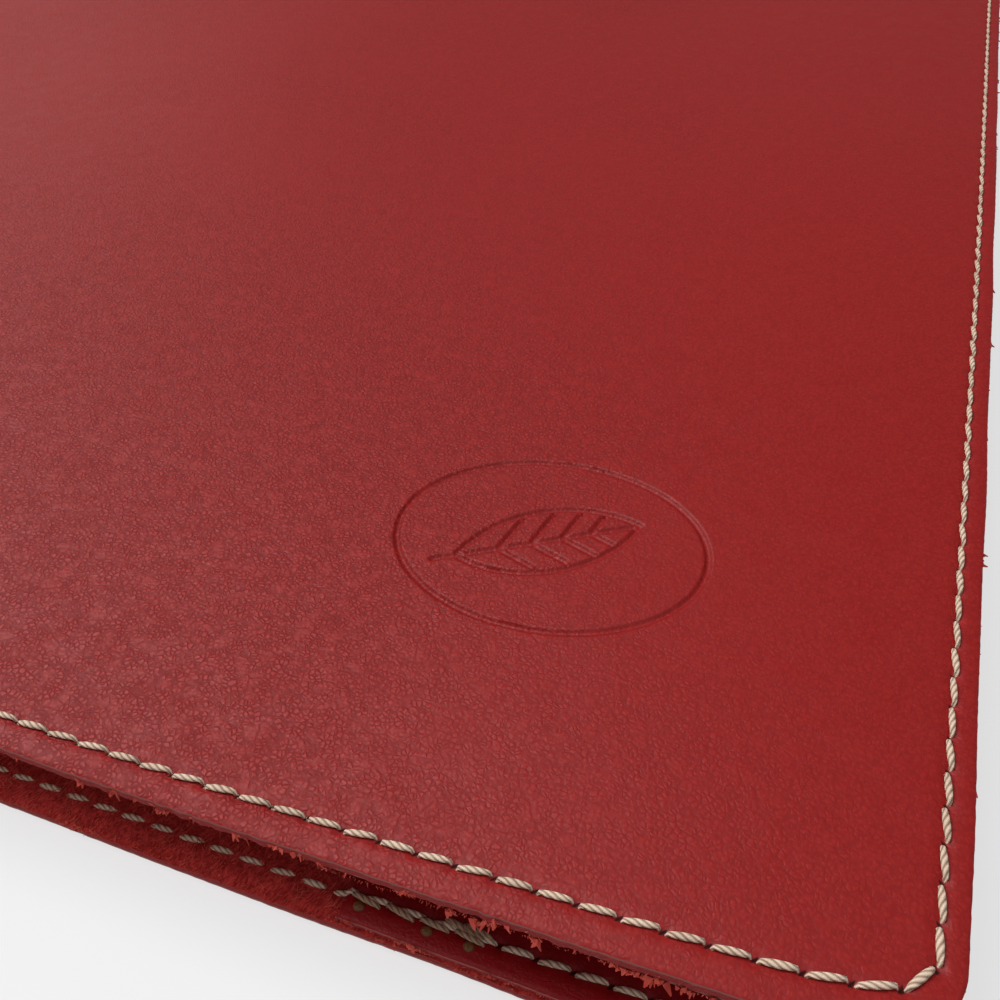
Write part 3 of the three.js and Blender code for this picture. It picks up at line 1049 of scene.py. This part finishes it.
class COVER_OT_edge_fibres(bpy.types.Operator):
    """Tufts and fuzz along every cut edge, more on the flesh side than at the grain"""

    bl_idname = "cover.edge_fibres"
    bl_label = "Edge fibres"

    def execute(self, context):
        colours = context.scene.cover_colours
        material = fibre_material("Loose leather fibre", tuple(colours.fibre), tuple(colours.flesh_deep))
        # The front's flesh side hangs free, so its shreds droop; the back's are pressed flat by the table.
        for seed, (half, droop, reach) in enumerate((("back", 0.15, 0.3), ("front", 0.9, 0.85))):
            outer = self.fringe(GIRTH, 0, LEATHER, 1.0, droop, reach, 400 + seed)
            piece = strands(f"edge_fibres_{half}", half, *outer, material, 410 + seed)
            bend_with_fold(piece, half)
            inner = self.fringe(FLAP_WIDTH, LEATHER + FLAP_GAP, FLAP_LEATHER, 0.8, droop, reach, 420 + seed)
            piece = strands(f"flap_fibres_{half}", half, *inner, material, 430 + seed)
            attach(piece, half)
        return {"FINISHED"}

    def fringe(self, width, top, thickness, share, droop, reach_share, seed):
        """Roots, ways, curls and lengths of the fibres along tail, fore-edge and head."""
        draw = np.random.default_rng(seed)
        straight = width - CORNER_RADIUS
        arc = CORNER_RADIUS * math.pi / 2
        upright = 2 * (HALF_HEIGHT - CORNER_RADIUS)
        outline = 2 * straight + 2 * arc + upright
        tufts = draw.uniform(0, outline, int(outline / (1.3 * MM) * share))
        size = draw.lognormal(-0.25, 0.45, len(tufts))
        members = np.maximum(2, (7 * size).astype(int))
        size = np.repeat(size, members)
        place = np.repeat(tufts, members) + draw.normal(0, 1, members.sum()) * 0.2 * MM * size
        reach = 0.4 * MM * np.clip(size, 0.5, 1.7) * draw.uniform(0.3, 1.1, len(size))
        thick = 0.17 * MM * np.clip(size, 0.6, 1.5) * draw.uniform(0.5, 1.2, len(size))
        fuzz = draw.uniform(0, outline, int(outline / (0.13 * MM) * share))
        place = np.clip(np.concatenate([place, fuzz]), 0, outline)
        lengths = np.concatenate([reach, draw.uniform(0.08, 0.24, len(fuzz)) * MM])
        thick = np.concatenate([thick, draw.uniform(0.025, 0.05, len(fuzz)) * MM])
        # Walk the outline: tail edge, arc, fore-edge, arc, head edge.
        marks = np.cumsum([straight, arc, upright, arc])
        p, q = np.zeros_like(place), np.zeros_like(place)
        way_p, way_q = np.zeros_like(place), np.zeros_like(place)
        low, high = HALF_HEIGHT - CORNER_RADIUS, CORNER_RADIUS
        leg = np.searchsorted(marks, place)
        p[leg == 0], q[leg == 0], way_q[leg == 0] = width - place[leg == 0], -HALF_HEIGHT, -1
        for number, sign in ((1, -1), (3, 1)):
            on = leg == number
            angle = (place[on] - marks[number - 1]) / CORNER_RADIUS
            angle = angle if sign < 0 else math.pi / 2 - angle
            way_p[on], way_q[on] = -np.sin(angle), sign * np.cos(angle)
            p[on], q[on] = high + CORNER_RADIUS * way_p[on], sign * low + CORNER_RADIUS * way_q[on]
        on = leg == 2
        q[on], way_p[on] = place[on] - marks[1] - low, -1
        on = leg == 4
        p[on], q[on], way_q[on] = place[on] - marks[3] + high, HALF_HEIGHT, 1
        depth = top + thickness * draw.uniform(0.35, 1.0, len(place)) ** 0.7
        roots = np.stack([p - way_p * 0.12 * MM, q - way_q * 0.12 * MM, depth], axis=1)
        lean = draw.normal(0, 0.4, (len(place), 3))
        ways = np.stack([way_p * 0.5, way_q * 0.5, np.full_like(place, droop)], axis=1) + lean
        ways /= np.linalg.norm(ways, axis=1, keepdims=True)
        return roots, ways, draw.normal(0, 0.35, (len(place), 3)) + (0, 0, 0.2), lengths * reach_share, thick


class COVER_OT_suede_nap(bpy.types.Operator):
    """Standing nap of the flesh side, beyond the flaps"""

    bl_idname = "cover.suede_nap"
    bl_label = "Suede nap"

    def execute(self, context):
        sizes, colours = context.scene.cover_sizes, context.scene.cover_colours
        material = fibre_material("Suede nap", tuple(colours.fibre), tuple(colours.flesh_deep))
        for seed, (half, count, depth) in enumerate((("back", 14000, 10 * MM), ("front", 5000, 6 * MM))):
            draw = np.random.default_rng(500 + seed)
            p = draw.uniform(FLAP_WIDTH + 0.1 * MM, STRAIGHT, count)
            down = depth * draw.uniform(0, 1, count) ** 1.3
            q = (HALF_HEIGHT - down) * draw.choice([-1, 1], count, p=[0.7, 0.3])
            roots = np.stack([p, q, np.full(count, LEATHER - 0.05 * MM)], axis=1)
            brushed = np.stack([draw.normal(-0.4, 0.5, count), draw.normal(0.8, 0.6, count)], axis=1)
            ways = np.concatenate([brushed, draw.uniform(0.25, 0.9, (count, 1))], axis=1)
            ways /= np.linalg.norm(ways, axis=1, keepdims=True)
            curls = draw.normal(0, 0.3, (count, 3)) - (0, 0, 0.25)
            lengths = sizes.nap * draw.uniform(0.3, 1.0, count)
            thick = draw.uniform(0.03, 0.06, count) * MM
            name = f"suede_nap_{half}"
            piece = strands(name, half, roots, ways, curls, lengths, thick, material, 510 + seed)
            bend_with_fold(piece, half)
        return {"FINISHED"}


class COVER_PT_panel(bpy.types.Panel):
    """Sizes, colours and the steps that build the cover"""

    bl_idname = "COVER_PT_panel"
    bl_label = "Notebook Cover"
    bl_space_type = "VIEW_3D"
    bl_region_type = "UI"
    bl_category = "Notebook Cover"

    def draw(self, context):
        for group in (context.scene.cover_sizes, context.scene.cover_colours):
            box = self.layout.box()
            for key in group.__annotations__:
                box.prop(group, key)
        for step in STEPS:
            self.layout.operator(step.bl_idname)


STEPS = (
    COVER_OT_stage,
    COVER_OT_outer_leather,
    COVER_OT_pocket_flaps,
    COVER_OT_needle_threads,
    COVER_OT_bobbin_threads,
    COVER_OT_wax_spots,
    COVER_OT_edge_fibres,
    COVER_OT_suede_nap,
)
GROUPS = (CoverSizes, CoverColours)


def register():
    for made in (*GROUPS, *STEPS, COVER_PT_panel):
        bpy.utils.register_class(made)
    bpy.types.Scene.cover_sizes = bpy.props.PointerProperty(type=CoverSizes)
    bpy.types.Scene.cover_colours = bpy.props.PointerProperty(type=CoverColours)


def unregister():
    del bpy.types.Scene.cover_colours
    del bpy.types.Scene.cover_sizes
    for made in reversed((*GROUPS, *STEPS, COVER_PT_panel)):
        bpy.utils.unregister_class(made)


def main():
    register()
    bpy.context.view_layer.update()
    for step in STEPS:
        getattr(bpy.ops.cover, step.bl_idname.split(".")[1])()


if __name__ == "__main__":
    main()
